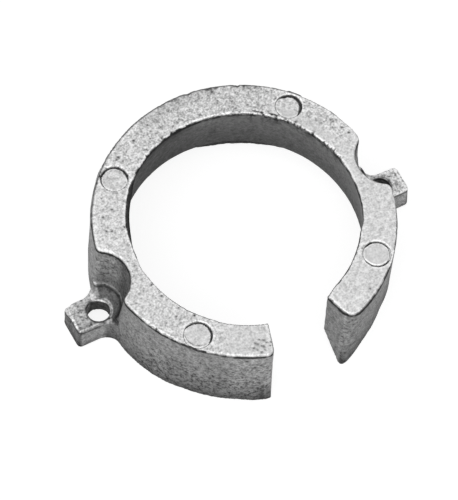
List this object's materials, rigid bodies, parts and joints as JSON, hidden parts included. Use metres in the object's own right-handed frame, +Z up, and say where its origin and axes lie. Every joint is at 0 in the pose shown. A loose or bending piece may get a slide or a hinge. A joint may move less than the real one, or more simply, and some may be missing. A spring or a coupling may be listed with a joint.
{
  "type": "sacrificial collar anode",
  "caption": "C-shaped cast aluminium collar anode with an end gap, bolt ears at its foot and a pocket over each ear for the bolt head.",
  "frame": {"origin": "on the bore's axis in the plane of the seat, midway between the bolt holes", "axes": "+Z up along the bore's axis from the seat to the top land, +X through one ear, the end gap towards -Y"},
  "size_m": [0.1394, 0.1112, 0.0374],
  "materials": {
    "cast_aluminium": "as cast, satin grey with fine pitting"
  },
  "bodies": {
    "root": {"anode_casting": "cast_aluminium"}
  },
  "joints": []
}
